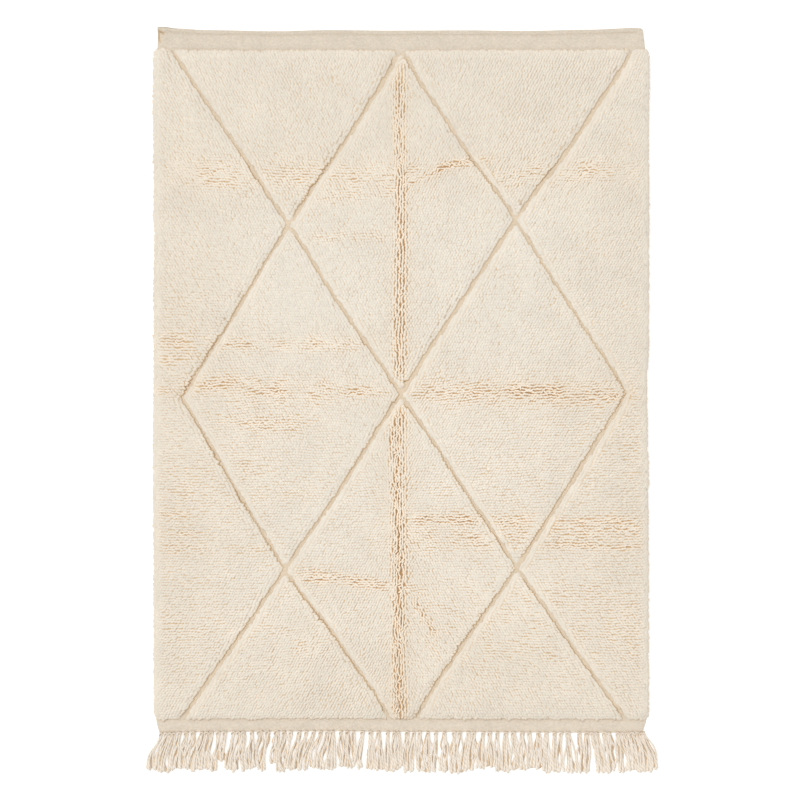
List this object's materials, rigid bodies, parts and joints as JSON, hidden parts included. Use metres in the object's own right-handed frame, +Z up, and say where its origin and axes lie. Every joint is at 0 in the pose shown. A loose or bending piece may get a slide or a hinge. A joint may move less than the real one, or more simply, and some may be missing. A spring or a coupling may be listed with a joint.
{
  "type": "beni ourain rug",
  "caption": "Hand-knotted cream wool rug: fields of pile parted by a flat-woven diamond lattice, with a turned hem at one end and a fringe of warp yarns at the other.",
  "frame": {"origin": "middle of the rug's plan, on the floor under it", "axes": "+X across the width, +Y along the length towards the hemmed end, +Z up out of the pile"},
  "size_m": [1.6486, 2.422, 0.022],
  "materials": {
    "pile_wool": "soft undyed wool pile, matt",
    "ground_weave": "flat-woven undyed wool ground, matt",
    "fringe_yarn": "plied undyed wool yarn, matt"
  },
  "bodies": {
    "root": {"rug": "pile_wool", "fringe": "fringe_yarn"}
  },
  "joints": []
}
